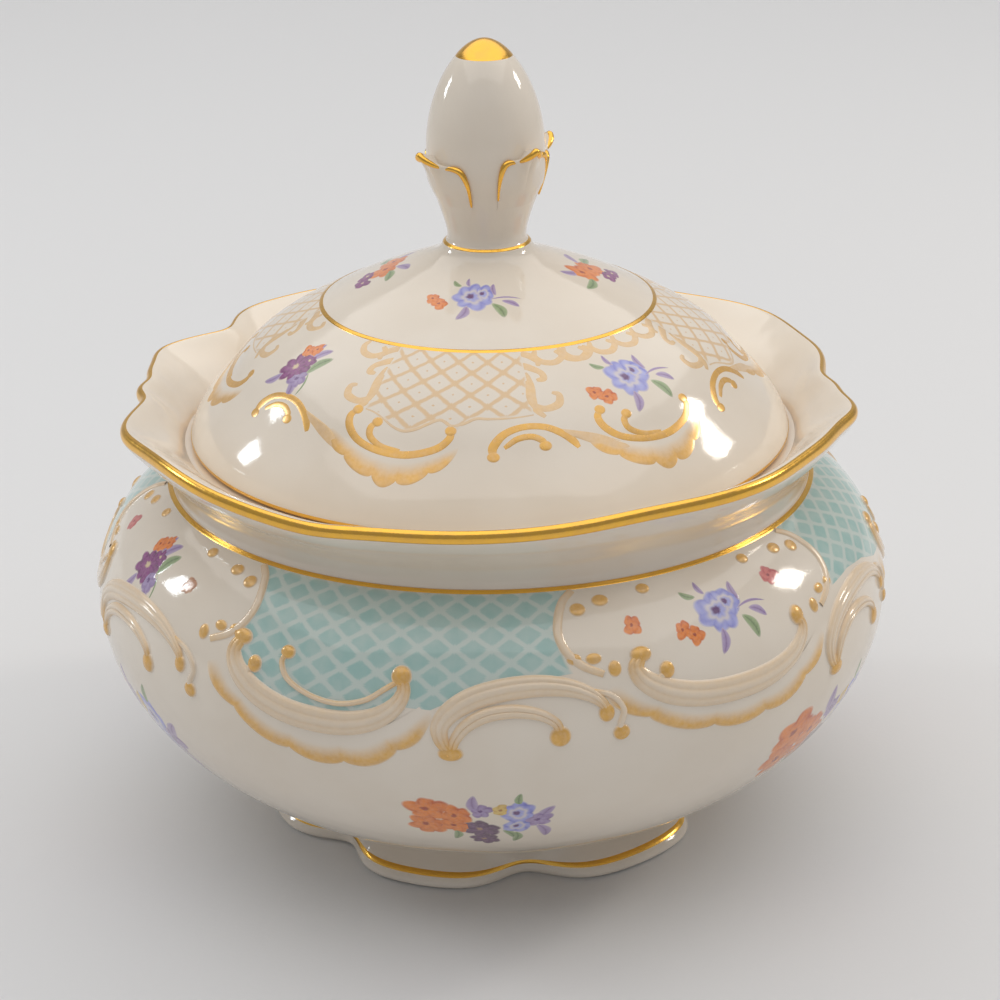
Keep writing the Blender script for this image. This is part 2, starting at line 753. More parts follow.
# Double arch between two of them.
ARCH_OUTER = (
    (-9.9, 48.3, 1.6), (-10.9, 50.2, 2.4), (-11.0, 52.4, 2.9), (-9.5, 54.6, 3.3), (-6.6, 56.5, 3.5),
    (-2.4, 57.7, 3.5), (2.0, 58.0, 3.3), (5.8, 57.4, 2.8), (8.6, 56.1, 2.2), (10.2, 54.6, 1.7),
    (10.6, 53.3, 1.5),
)
ARCH_INNER = (
    (-9.6, 48.4, 1.4), (-9.0, 50.4, 1.8), (-7.6, 52.4, 2.1), (-5.0, 54.0, 2.3), (-1.6, 54.5, 2.2),
    (1.6, 53.9, 1.9), (3.8, 52.5, 1.6), (4.4, 50.9, 1.6),
)
ARCH_HOOK = ((8.4, 56.8, 0.8), (11.4, 55.6, 1.0), (12.9, 53.4, 1.1), (12.4, 51.2, 1.2), (12.5, 50.0, 1.2))
ARCH_DABS = ((-9.7, 48.0, 2.0, 1.3), (4.4, 50.3, 1.7, 1.7), (10.6, 53.2, 1.3, 1.5), (12.5, 49.9, 1.4, 1.3))

# Middle of each shell, its stretch sideways and upwards, and whether it has an inner scroll.
SHELLS_AT = (
    (-24.5, 1.0, 1.0, True), (33.8, 1.1, 0.86, False), (95.0, 1.0, 1.0, True), (155.0, 1.0, 1.0, True),
    (-145.0, 1.1, 0.86, False), (-90.0, 1.0, 1.0, True),
)
ARCHES_AT = ((4.0, 1.0), (64.0, 1.0), (125.0, 1.0), (-175.0, 1.0), (-118.0, 0.8), (-60.5, 1.25))

# Trellis panels and flower cartouches alternate round the shoulder: edges of each panel.
PANELS = ((-37.0, 9.3), (58.5, 104.0), (147.0, 193.0), (-132.0, -86.0))
# Border of a cartouche, and dabs along it: degrees from the edge of the next panel, distance, width.
BORDER = (
    (3.2, 72.4, 1.3), (1.4, 70.6, 1.4), (0.3, 68.0, 1.5), (-0.1, 65.2, 1.5), (0.7, 62.6, 1.5),
    (2.6, 60.4, 1.4), (5.4, 58.8, 1.2),
)
BORDER_DABS = (
    (1.6, 61.4, 1.2, 0.9), (3.4, 69.0, 1.3, 1.2), (4.3, 61.2, 1.3, 0.9), (7.0, 59.4, 1.1, 1.3),
    (7.2, 70.1, 1.4, 1.1), (14.6, 70.9, 1.2, 1.0),
)

SHELL_PATHS = (SHELL_ROOT, SHELL_EDGE, SHELL_BAND, SHELL_HOOK, SHELL_INNER, SHELL_DABS)
# Distance of a shell's two knobs, which stay there when it is stretched.
KNOB_LINE = 61.0


def sides(panels):
    """Both edges of each panel, with -1 for a left and 1 for a right one."""
    return [(panel[side > 0], side) for panel in panels for side in (-1, 1)]


def beside(edge, side, path):
    """Path given by its degrees out from an edge."""
    return [(edge + side * out, *rest) for out, *rest in path]


def fitted(path, at, wide, tall):
    """Path of a shell moved to its azimuth and stretched, sideways and upwards, about its knobs."""
    return [(at + wide * out, KNOB_LINE - tall * (KNOB_LINE - along), *rest) for out, along, *rest in path]


def scroll_patches(surface, s):
    """All moulded scrolls, fringes, borders and dabs of the bowl."""
    made = []
    relief = s.relief
    plain = edge_gilt(0.2, 0.2, 0.7)
    for *place, inner in SHELLS_AT:
        root, edge, band, hook, scroll, spots = (fitted(path, *place) for path in SHELL_PATHS)
        made += [
            fringe(surface, 0.0, root, edge, 5, relief * 0.6, 0.6),
            stroke(surface, 0.0, band, relief, plain, ridges=3),
            stroke(surface, 0.0, hook, relief * 0.6, edge_gilt(0.3, 0.3, 0.6)),
        ]
        if inner:
            made.append(stroke(surface, 0.0, scroll, relief * 0.7, edge_gilt(0.35, 0.4, 0.5)))
        made += [dab(surface, *spot, relief * 0.8) for spot in (spots if inner else spots[:3])]
    for at, stretch in ARCHES_AT:
        made += [
            stroke(surface, at, ARCH_OUTER, relief, plain, stretch, ridges=3),
            stroke(surface, at, ARCH_INNER, relief, edge_gilt(0.22, 0.25, 0.7), stretch, ridges=2),
            stroke(surface, at, ARCH_HOOK, relief * 0.7, plain, stretch),
        ]
        made += [dab(surface, at + a * stretch, y, w, h, relief * 0.8) for a, y, w, h in ARCH_DABS]
    for edge, side in sides(PANELS):
        border = beside(edge, side, BORDER)[:: -side]
        made.append(stroke(surface, 0.0, border, relief * 0.5, edge_gilt(0.25, 0.3, 0.2)))
        made += [dab(surface, *spot, relief * 0.4, 0.9) for spot in beside(edge, side, BORDER_DABS)]
    return made


# Lower edge of the wide and of the narrow panels: degrees and distance.
PANEL_FLOORS = (
    ((-37.0, 60.5), (-35.5, 56.5), (-31.0, 52.6), (-24.5, 51.2), (-18.0, 52.2), (-13.0, 54.8), (-8.5, 54.6),
     (-4.0, 57.2), (2.0, 58.8), (9.5, 59.4)),
    ((0.0, 60.2), (6.0, 60.6), (12.0, 59.6), (17.5, 57.2), (23.0, 56.5), (28.0, 52.6), (34.5, 51.2),
     (41.0, 52.4), (45.5, 58.0)),
)
# Bows of a panel's sides towards its top and its foot: degrees out, from which distance, over which run.
PANEL_BOWS = ((3.4, 67.5, 5.0), (1.6, 65.0, -6.0))
# Gap between a panel's top and the neck.
PANEL_GAP = 0.4
# One diamond of the net: degrees round and millimetres up.
TRELLIS_PITCH = (5.15, 4.1)


def fade(share, width):
    """Cover that fades out over a width at both ends of a span."""
    return unit(np.minimum(share, 1 - share) / width)


def panel_patches(surface):
    """Trellis panels: their lower edge follows the scrolls, their sides the borders."""
    made = []
    for number, (left, right) in enumerate(PANELS):
        floor = np.array(PANEL_FLOORS[number % 2])
        share = row(81)
        up = column(41)
        spans = (floor[:, 0] - floor[0, 0]) / (floor[-1, 0] - floor[0, 0])
        low = np.interp(share, spans, floor[:, 1])
        along = low + (surface.length - PANEL_GAP - low) * up
        bow = sum(out * unit((along - start) / run) ** 2 for out, start, run in PANEL_BOWS)
        azimuth = left - bow * (1 - share) + (right - left) * share + bow * share
        uv = np.stack([azimuth / TRELLIS_PITCH[0] + 0.54, along / TRELLIS_PITCH[1]], axis=-1)
        cover = fade(share, 0.012) * unit((1 - up) / 0.06) ** 0.7
        made.append(patch(surface.place(azimuth, along, PAINT_LIFT), uv=uv, cover=cover))
    return made


# --- painted flowers

# Shade, tint and eye of each enamel; how deep its petals part, how white the ring round the eye is, and
# how wide the eye is.
PALETTE = {
    "blue": ((108, 112, 204), (182, 186, 238), (98, 52, 118), 0.16, 0.9, 0.24),
    "purple": ((92, 28, 88), (150, 66, 140), (222, 200, 160), 0.3, 0.0, 0.22),
    "plum": ((70, 36, 72), (120, 84, 124), (176, 140, 110), 0.28, 0.0, 0.2),
    "orange": ((204, 84, 10), (248, 146, 58), (166, 52, 8), 0.3, 0.0, 0.22),
    "pink": ((178, 66, 74), (222, 126, 122), (150, 54, 66), 0.25, 0.0, 0.2),
    "violet": ((122, 90, 150), (178, 158, 200), (104, 66, 132), 0.3, 0.0, 0.25),
    "green": ((92, 118, 76), (150, 176, 126), (70, 100, 60), 0.2, 0.0, 0.2),
    "brown": ((170, 104, 66), (214, 168, 134), (140, 80, 44), 0.25, 0.0, 0.2),
    "yellow": ((200, 152, 60), (234, 204, 120), (176, 116, 44), 0.2, 0.0, 0.25),
}


# Waves round a flower's outline: how many, and how high in shares of its reach.
RAGGED = ((2, 0.09), (3, 0.07), (7, 0.04))


def on_surface(surface, azimuth, along, x, y, lift):
    """Points at millimetres right and up of a place on a turned surface."""
    return surface.place(azimuth + surface.degrees(x, along), along + y, lift)


def flower(surface, azimuth, along, across, reach, petals, hue, seed):
    """Painted flower: a ragged polar outline in petals, brush strokes, and an eye off the middle."""
    dark, light, eye = (np.array(srgb(*tone)) for tone in PALETTE[hue][:3])
    depth, halo, pupil = PALETTE[hue][3:]
    sway = np.random.default_rng(seed).uniform(0, 2 * pi, 6)
    angle = row(61, 0, 2 * pi)
    ring = column(16)
    lobe = np.abs(np.cos(0.5 * petals * angle + sway[0])) ** 0.7
    ragged = 1
    for (waves, height), phase in zip(RAGGED, sway[1:]):
        ragged = ragged + height * np.sin(waves * angle + phase)
    outline = reach * ragged * (1 - depth + depth * lobe)
    x = across[0] + outline * ring * np.cos(angle)
    y = across[1] + outline * ring * np.sin(angle)
    strokes = 0.5 + 0.5 * np.sin(petals * angle + 10 * ring + sway[4])
    side = unit(np.cos(angle - 0.8))
    shade = unit(0.1 + 0.55 * (1 - lobe) * ring + 0.5 * strokes**2 * ring + 0.4 * side * ring)
    tone = light + (dark - light) * shade[..., None]
    white = halo * np.exp(-(((ring - 0.42) / 0.11) ** 2))
    middle = np.hypot(ring * np.cos(angle) + 0.1, ring * np.sin(angle) - 0.04)
    heart = unit((pupil - middle) / 0.1)
    tone = tone + (eye - tone) * heart[..., None]
    cover = unit((1 - ring) / 0.14) * np.maximum(0.95 - 0.75 * white, 0.95 * heart)
    points = on_surface(surface, azimuth, along, x, y, FLOWER_LIFT - SINK * ring**6)
    return patch(points, flip=True, paint=tone, cover=cover)


def leaf(surface, azimuth, along, across, length, width, lean, hue):
    """Painted leaf or petal: a sine outline along a leaning line, with a darker rib."""
    dark, light = (np.array(srgb(*tone)) for tone in PALETTE[hue][:2])
    share = row(15)
    side = column(9, -1)
    half = 0.5 * width * np.sin(pi * share) ** 0.7
    ahead = share * length
    bend = 0.12 * length * np.sin(pi * share)
    turned = side * half + bend
    x = across[0] + ahead * cos(radians(lean)) - turned * sin(radians(lean))
    y = across[1] + ahead * sin(radians(lean)) + turned * cos(radians(lean))
    rib = unit(1 - np.abs(side) / 0.3) * 0.7 + 0.3 * share
    tone = light + (dark - light) * rib[..., None]
    cover = unit((1 - np.abs(side)) / 0.3) * fade(share, 0.1) * 0.92
    points = on_surface(surface, azimuth, along, x, y, PAINT_LIFT - 0.025 * np.abs(side) ** 4)
    return patch(points, paint=tone, cover=cover)


# Sprays: what, right, up, size, lean or petals, hue. Millimetres from the middle of the spray.
BLUE_SPRAY = (
    ("leaf", -2.6, 2.8, 2.8, 150, "green"), ("leaf", -0.9, 2.8, 2.6, 108, "violet"),
    ("leaf", 4.2, 0.4, 3.4, 92, "violet"), ("stem", 3.0, -0.6, 5.6, -4, "violet"),
    ("leaf", 5.0, -1.0, 3.4, -38, "violet"), ("leaf", 3.4, -1.6, 4.4, -68, "green"),
    ("leaf", -0.6, -2.4, 4.0, -104, "violet"), ("flower", 1.9, 0.9, 2.5, 5, "blue"),
    ("flower", 0.0, 0.0, 3.7, 7, "blue"), ("flower", -6.6, -1.4, 1.5, 4, "orange"),
    ("flower", -5.0, -2.5, 1.6, 4, "orange"),
)
PURPLE_SPRAY = (
    ("leaf", 1.2, 1.8, 4.6, 50, "violet"), ("leaf", 0.8, 2.6, 3.4, 84, "violet"),
    ("leaf", 3.0, -0.4, 5.2, 58, "green"), ("stem", 3.4, 0.2, 4.6, -80, "green"),
    ("leaf", -1.6, -1.8, 3.8, -130, "violet"), ("leaf", 1.0, -1.4, 4.4, -64, "violet"),
    ("flower", 2.3, -1.6, 2.0, 5, "violet"), ("flower", -1.3, 3.4, 1.5, 4, "orange"),
    ("flower", 0.4, 4.3, 1.5, 4, "orange"), ("flower", 1.4, 2.0, 1.6, 5, "purple"),
    ("flower", 0.0, 0.0, 3.4, 9, "purple"),
)
ORANGE_SPRAY = (
    ("leaf", -2.2, 1.2, 4.4, 150, "violet"), ("leaf", 1.8, 1.6, 4.8, 20, "violet"),
    ("leaf", 2.4, 0.4, 4.8, -16, "green"), ("leaf", -2.4, -1.0, 4.4, 196, "green"),
    ("flower", 1.4, -3.6, 1.8, 5, "purple"), ("flower", 3.4, -4.4, 1.6, 4, "purple"),
    ("flower", 1.6, -0.5, 2.9, 6, "orange"), ("flower", -1.6, 0.5, 3.0, 5, "orange"),
)
GREAT_SPRAY = (
    ("leaf", -3.8, -2.8, 3.6, -96, "green"), ("leaf", -0.4, 1.4, 4.4, 100, "violet"),
    ("leaf", 5.0, 3.0, 3.0, 92, "green"), ("leaf", 7.6, -1.0, 4.4, 66, "violet"),
    ("leaf", 7.2, -1.6, 4.6, -70, "violet"), ("leaf", 4.4, -3.6, 4.0, -92, "green"),
    ("leaf", 2.6, -3.0, 3.4, -60, "green"), ("flower", -0.2, 2.2, 1.7, 5, "violet"),
    ("flower", 2.4, 2.4, 1.4, 5, "yellow"), ("flower", 0.2, -6.2, 2.3, 6, "plum"),
    ("flower", -0.3, -2.7, 2.8, 6, "plum"), ("flower", 7.4, -0.3, 2.1, 5, "violet"),
    ("flower", 4.6, -1.8, 2.2, 5, "blue"), ("flower", 4.6, 1.6, 2.7, 6, "blue"),
    ("flower", -3.6, 1.0, 2.6, 5, "orange"), ("flower", -7.6, -1.6, 3.1, 6, "orange"),
    ("flower", -7.2, 2.4, 3.1, 5, "orange"), ("flower", -3.8, -1.6, 2.4, 5, "orange"),
)


# Width of a painted leaf and of a stem, per millimetre of its length.
LEAF_WIDTHS = {"leaf": 0.42, "stem": 0.09}


def spray(surface, azimuth, along, items, scale):
    """Patches of one spray."""
    made = []
    for number, (what, x, y, length, turned, hue) in enumerate(items):
        reach = length * scale
        place = (x * scale, y * scale)
        if what == "flower":
            seed = 31 * number + int(abs(azimuth) * 7)
            made.append(flower(surface, azimuth, along, place, reach, turned, hue, seed))
        else:
            width = reach * LEAF_WIDTHS[what]
            made.append(leaf(surface, azimuth, along, place, reach, width, turned, hue))
    return made


# Sprays on one half of the bowl and of the lid: azimuth, distance, what, scale.
BOWL_SPRAYS = ((34.2, 64.5, BLUE_SPRAY, 1.05), (-62.8, 63.4, PURPLE_SPRAY, 1.1))
LID_SPRAYS = (
    (37.5, 21.6, BLUE_SPRAY, 1.0), (-57.5, 20.6, PURPLE_SPRAY, 1.0), (-9.0, 42.6, BLUE_SPRAY, 0.88),
    (83.0, 42.2, ORANGE_SPRAY, 1.0),
)
# Scattered blossoms on one half of the bowl: azimuth, distance, reach, hue.
BOWL_BLOSSOMS = (
    (20.2, 65.3, 1.7, "orange"), (46.3, 66.7, 1.9, "pink"), (-77.5, 65.3, 1.8, "pink"),
    (-51.0, 64.6, 1.6, "brown"),
)
GREAT_SPRAYS_AT = ((-1.8, 33.8, 1.12), (57.5, 35.4, 1.55), (-65.0, 36.0, 1.55))


# --- lid painting

LID_BAND = (
    (-11.4, 17.2, 1.2), (-12.5, 15.9, 1.6), (-11.5, 14.1, 1.6), (-8.3, 12.3, 1.4), (-3.0, 11.2, 1.4),
    (3.0, 11.1, 1.5), (8.6, 12.3, 1.5), (11.3, 14.0, 1.5), (11.5, 15.2, 1.6),
)
LID_INNER = ((-5.6, 15.6, 1.2), (-6.6, 14.6, 1.4), (-6.0, 13.2, 1.3), (-3.0, 12.0, 1.1), (1.2, 11.6, 0.9))
LID_ROOT = ((-14.0, 13.2), (-8.0, 11.3), (-3.0, 10.2), (2.0, 9.9), (7.0, 10.8), (13.0, 12.8))
LID_EDGE = ((-18.2, 14.0), (-13.0, 9.6), (-5.5, 6.8), (-1.0, 5.4), (3.6, 6.0), (9.4, 8.2), (14.6, 12.6))
LID_ARCH = (
    (-8.7, 11.2, 1.4), (-8.7, 12.8, 1.8), (-6.2, 14.8, 1.5), (-2.0, 15.8, 1.3), (2.5, 15.6, 1.3),
    (6.0, 14.4, 1.5), (8.2, 13.0, 1.6), (9.2, 11.8, 1.1),
)
LID_ARCH_INNER = ((-6.4, 12.6, 1.0), (-3.6, 13.9, 1.2), (-0.6, 14.2, 1.2), (1.6, 13.5, 1.3), (2.2, 12.6, 1.3))
LID_LINK = ((5.4, 14.8, 0.9), (9.6, 13.8, 1.5), (13.6, 12.6, 2.2), (17.6, 11.2, 2.0), (21.0, 10.2, 1.0))
LID_SHELL_DABS = ((-11.3, 17.2), (-5.4, 15.7), (11.5, 15.3))
LID_ARCH_DABS = ((-8.7, 11.2), (2.2, 12.6))
LID_SHELLS_AT = (-20.0, 37.0, 96.0, 158.0, -144.0, -84.0)
LID_ARCHES_AT = (9.3, 67.0, 126.0, -174.0, -114.0, -51.0)
LID_PANELS = ((-29.5, 10.0), (66.0, 107.0), (149.0, 190.0), (-121.0, -80.0))
# Curls along the sides of a lattice: degrees out from its edge, distance, width.
LID_CURLS = (
    ((0.0, 29.6, 1.4), (2.6, 29.0, 1.6), (4.6, 27.8, 1.4), (4.2, 26.8, 0.9)),
    ((-0.6, 27.2, 1.8), (1.6, 26.6, 1.6), (4.4, 25.4, 1.3), (4.6, 24.2, 1.4), (2.6, 24.0, 0.9)),
    ((-0.6, 25.6, 2.2), (0.2, 23.0, 2.2), (0.0, 20.6, 2.2), (0.8, 18.6, 1.4), (2.6, 17.2, 1.0)),
    ((0.0, 19.4, 1.6), (3.0, 18.6, 1.4), (6.4, 19.2, 1.6), (7.2, 20.8, 1.3), (5.6, 21.4, 0.8)),
)
# Curl of the festoon under the ring: degrees from its middle, distance, width.
LID_TOP_CURL = (
    (-3.6, 30.0, 1.0), (-4.4, 28.8, 1.3), (-2.4, 27.5, 1.4), (1.4, 27.2, 1.4), (4.4, 28.4, 1.3),
    (2.6, 29.5, 1.1),
)
# Lattices: their upper edge, one diamond, and where one is centred, in degrees round and millimetres up.
LATTICE_TOP = 30.4
LATTICE_PITCH = (8.6, 4.3)
LATTICE_KNOT = (-13.35, 23.75)


def lattice_floor(share):
    """Lower edge of a lattice: it sags between the arms of the scroll under it and has a point there."""
    sag = 3.4 * np.exp(-(((share - 0.27) / 0.16) ** 2))
    return 17.8 - sag - 1.8 * np.exp(-(((share - 0.56) / 0.05) ** 2)) + 0.4 * np.sin(2 * pi * share)


def lid_gold_patches(surface, s):
    """Flat gold scrolls, fringes and curls of the lid."""
    made = []
    flat = s.gilt

    def line(at, path, tint, steps=56):
        made.append(stroke(surface, at, path, flat, plain_gilt(tint), steps=steps))

    for at in LID_SHELLS_AT:
        made.append(fringe(surface, at, LID_ROOT, LID_EDGE, 5, flat, 0.95, 0.24))
        line(at, LID_BAND, 1.0)
        line(at, LID_INNER, 0.95)
        made += [dab(surface, at + a, y, 1.0, 0.9, flat, 1.0) for a, y in LID_SHELL_DABS]
    for at in LID_ARCHES_AT:
        line(at, LID_LINK, 0.6)
        line(at, LID_ARCH, 1.0)
        line(at, LID_ARCH_INNER, 0.95)
        made += [dab(surface, at + a, y, 1.1, 0.9, flat, 1.0) for a, y in LID_ARCH_DABS]
    for number, (left, right) in enumerate(LID_PANELS):
        for edge, side in sides([(left, right)]):
            for curl in LID_CURLS:
                line(0.0, beside(edge, side, curl), 0.6)
        share = np.linspace(0, 1, 16)
        floor = np.column_stack([left + (right - left) * share, lattice_floor(share), 0.7 + 0 * share])
        line(0.0, floor, 0.5, 90)
        following = LID_PANELS[(number + 1) % 4][0] + 360 * (number > 1)
        for middle in np.linspace(right + 8.5, following - 8.5, 5):
            line(middle, LID_TOP_CURL, 0.6)
    return made


def lattice_patches(surface):
    """Gold lattices of the lid: a wavy lower edge and upright sides."""
    made = []
    for left, right in LID_PANELS:
        share = row(61)
        up = column(31)
        low = lattice_floor(share)
        along = low + (LATTICE_TOP - low) * up
        azimuth = left + (right - left) * share + 0 * up
        across = (azimuth - LATTICE_KNOT[0]) / LATTICE_PITCH[0] + 0.5
        uv = np.stack([across, (along - LATTICE_KNOT[1]) / LATTICE_PITCH[1]], axis=-1)
        cover = fade(share, 0.02) * unit(up / 0.03)
        made.append(patch(surface.place(azimuth, along, PAINT_LIFT), uv=uv, cover=cover))
    return made


# --- finial

# Leaves of the calyx: azimuth and height of the tip above the collar, spread to the left and to the right.
LEAVES = (
    (-58.0, 15.8, 40.0, 42.0), (40.0, 16.9, 28.0, 38.0), (122.0, 15.7, 36.0, 40.0), (220.0, 16.2, 42.0, 40.0),
)
# Half of a leaf's outline: share of its spread, height under the tip.
LEAF_OUTLINE = smooth(
    ((0.0, 0.0), (0.14, -0.8), (0.28, -1.5), (0.42, -1.9), (0.56, -1.8), (0.70, -1.9), (0.82, -2.4),
     (0.91, -3.6), (0.97, -5.4), (1.0, -8.6)), 80,
)
# Calyx, above the collar: where it begins, the floor of its gaps, and where it swells away from the bud.
CALYX_RISE = 1.6
GAP_RISE = 6.0
SWELL_RISE = 6.6
# Gold on a leaf's rim: from and to, in shares of its spread, and how thick.
LEAF_GILT = ((-0.34, 0.34, 0.55), (0.44, 0.995, 0.62), (-0.44, -0.995, 0.62))


def leaf_share(azimuth, at, left, right):
    """Where an azimuth is on a leaf: 0 at its tip, -1 and 1 at its two edges."""
    away = (azimuth - at + 180) % 360 - 180
    return np.where(away < 0, away / left, away / right)


def calyx_rim(azimuth):
    """Height of the calyx above the collar: the outline of the leaf there, or the floor of a gap."""
    height = GAP_RISE + 0 * azimuth
    for at, tip, left, right in LEAVES:
        share = np.abs(leaf_share(azimuth, at, left, right))
        height = np.maximum(height, tip + np.interp(share, *LEAF_OUTLINE.T, right=-tip))
    return height


def calyx_curl(azimuth, s):
    """How far the rim of the calyx stands out from the bud."""
    reach = s.leaf_reach - s.bud_r - 0.4
    shares = (leaf_share(azimuth, at, left, right) for at, _, left, right in LEAVES)
    return sum(reach * np.exp(-((share / 0.3) ** 2)) for share in shares)


def calyx_patch(bud, s):
    """Calyx: it swells from the stem over the bud, curls out at the leaf tips and turns in at its rim."""
    azimuth = turn(FINE_COLUMNS)[None]
    rise = column(32)
    rim = calyx_rim(azimuth)
    height = CALYX_RISE + (rim - CALYX_RISE) * rise
    bare = np.interp(height, bud.heights - COLLAR_Z, bud.radii)
    swell = unit((height - SWELL_RISE) / 4.0)
    body = 0.05 + 0.5 * unit((rim - GAP_RISE) / 3.0)
    radius = bare - 0.04 + body * swell**2 * (3 - 2 * swell) + calyx_curl(azimuth, s) * rise**6
    rim_r = radius[-1:]
    rim_bare = bare[-1:]
    edge = np.clip((rim - GAP_RISE) / 3.0, 0.1, 1)
    radius = np.vstack([radius, rim_r - 0.12 * edge, rim_r - 0.45 * edge, rim_bare - 0.4])
    height = np.vstack([height, rim + 0.25 * edge, rim + 0.3 * edge, rim - 0.7])
    return patch(around(azimuth, radius, height + COLLAR_Z))


def tube(points, radii, corners=10):
    """Tube along points, tapered to closed ends."""
    ahead = np.gradient(points, axis=0)
    ahead /= np.linalg.norm(ahead, axis=1)[:, None]
    side = np.cross(ahead, (0.0, 0.0, 1.0))
    side /= np.linalg.norm(side, axis=1)[:, None]
    up = np.cross(side, ahead)
    angle = np.linspace(0, 2 * pi, corners + 1)[None, :, None]
    ring = side[:, None] * np.cos(angle) + up[:, None] * np.sin(angle)
    return patch(points[:, None] + ring * radii[:, None, None])


def leaf_gold_patches(bud, s):
    """Gold along the rims of the leaves: over each tip, and down each side, thinning out."""
    made = []
    run = np.linspace(0, 1, 60)
    ends = np.sin(pi * np.linspace(0.03, 0.97, 60)) ** 0.5
    for at, tip, left, right in LEAVES:
        for first, last, thick in LEAF_GILT:
            over = first * last < 0
            share = first + (last - first) * (run if over else 1 - (1 - run) ** 1.8)
            azimuth = at + share * np.where(share < 0, left, right)
            height = tip + np.interp(np.abs(share), *LEAF_OUTLINE.T) - 0.1
            bare = np.interp(height, bud.heights - COLLAR_Z, bud.radii)
            radius = bare + 0.28 + calyx_curl(azimuth, s)
            line = around(azimuth, radius, height + COLLAR_Z)
            made.append(tube(line, thick * ends * (1.0 if over else 1.05 - 0.55 * run)))
    return made


# --- operators


class SUGARBOWL_OT_bowl(bpy.types.Operator):
    """Add the glazed bowl and its foot"""

    bl_idname = "sugarbowl.bowl"
    bl_label = "Bowl and foot"

    def execute(self, context):
        s = context.scene.sugar_bowl_sizes
        porcelain = porcelain_material(context.scene.sugar_bowl_colours)
        inner_r = s.belly_r - s.body_wall
        widest_z = JOINT_Z + s.belly_rise
        floor_z = JOINT_Z + s.floor_thick
        bore_z = widest_z + s.shoulder_rise + 0.6
        seat_z = LIP_Z - s.seat_drop
        seat, bore = (s.seat_bore_r, seat_z), (s.seat_bore_r, bore_z)
        widest, flat = (inner_r, widest_z), (s.floor_r, floor_z)
        upper = (s.seat_bore_r + NECK_PULL, bore_z - MOUTH_PULL), (inner_r, widest_z + INNER_PULL)
        lower = (inner_r, widest_z - LOW_PULL), (s.floor_r + FLOOR_PULL, floor_z)
        inside = (
            bezier((s.seat_r, seat_z), seat, count=3),
            bezier(seat, bore, count=5),
            bezier(bore, *upper, widest, count=24),
            bezier(widest, *lower, flat, count=24),
            bezier(flat, (0.0, floor_z), count=6),
        )
        under = bezier((0.0, JOINT_Z), (s.foot_top_r, JOINT_Z), count=12)
        outside = with_share(np.vstack([under, belly_profile(s)[1:-1]]))
        rows = np.vstack([outside, rim_profile(s)] + [with_share(run[1:]) for run in inside])
        made = [shell(rows, rim_wave(s), WIDE_COLUMNS, rim_rise)]
        build("glazed_bowl", "bowl", "porcelain", made, porcelain, "bowl_body")
        outside = foot_profile(s)
        inside = outside[::-1].copy()
        inside[:, 0] -= s.foot_wall
        hem = np.vstack([inside[-1], outside[0]])
        made = [shell(np.vstack([outside, inside, hem[1:]]), foot_wave(s))]
        build("glazed_foot", "bowl", "porcelain", made, porcelain, "foot_ring")
        return {"FINISHED"}


class SUGARBOWL_OT_lid(bpy.types.Operator):
    """Add the glazed lid"""

    bl_idname = "sugarbowl.lid"
    bl_label = "Lid"

    def execute(self, context):
        s = context.scene.sugar_bowl_sizes
        porcelain = porcelain_material(context.scene.sugar_bowl_colours)
        flange_in = s.flange_r - s.flange_wall
        under_z = COLLAR_Z - s.lid_wall
        edge = lid_edge_profile(s, 14)
        flange_z = LID_Z - s.flange_depth
        flange = ((flange_in, flange_z), (s.flange_r, flange_z), (s.flange_r, LID_Z))
        ring_z = LID_Z + s.lid_ring_rise
        shoulder_z = LID_Z + s.lid_shoulder_rise
        vent_r = 2.0
        inside = smooth(
            (
                (vent_r, under_z),
                (s.lid_ring_r - 0.4 * s.lid_wall, ring_z - 0.9 * s.lid_wall),
                (s.lid_shoulder_r - 0.75 * s.lid_wall, shoulder_z - 0.7 * s.lid_wall),
                (flange_in, LID_Z),
            ),
            40,
        )
        vent = ((vent_r, COLLAR_Z), (vent_r, under_z))
        rows = np.vstack([dome_profile(s), vent, inside[1:], flange, edge[1:]])
        made = [shell(with_share(rows), None, WIDE_COLUMNS)]
        build("glazed_lid", "lid", "porcelain", made, porcelain, "lid_dome")
        return {"FINISHED"}


class SUGARBOWL_OT_finial(bpy.types.Operator):
    """Add the finial, its calyx and the gold on the leaves"""

    bl_idname = "sugarbowl.finial"
    bl_label = "Finial"

    def execute(self, context):
        s = context.scene.sugar_bowl_sizes
        colours = context.scene.sugar_bowl_colours
        bud = Turned(bud_profile(s))
        rows = np.vstack([(0.0, COLLAR_Z), bud_profile(s)])
        made = [shell(with_share(rows), None, BUD_COLUMNS), calyx_patch(bud, s)]
        build("glazed_finial", "lid", "porcelain", made, porcelain_material(colours), "finial")
        build("leaf_gold", "lid", "gilding", leaf_gold_patches(bud, s), gold_material(colours))
        return {"FINISHED"}


# Gold: heights of its lines on the hem and on the lid's edge, depth of the cap on the tip, where the lines
# at the neck and on the collar are, and the widths of the ring's and the collar's as shares of a line.
HEM_GILT = (1.75, 3.1)
EDGE_GILT = (0.1, 0.95)
TIP_GILT = 3.0
NECK_DROP = 0.5
COLLAR_RISE = 0.4
RING_SHARE = 0.8
COLLAR_SHARE = 0.65


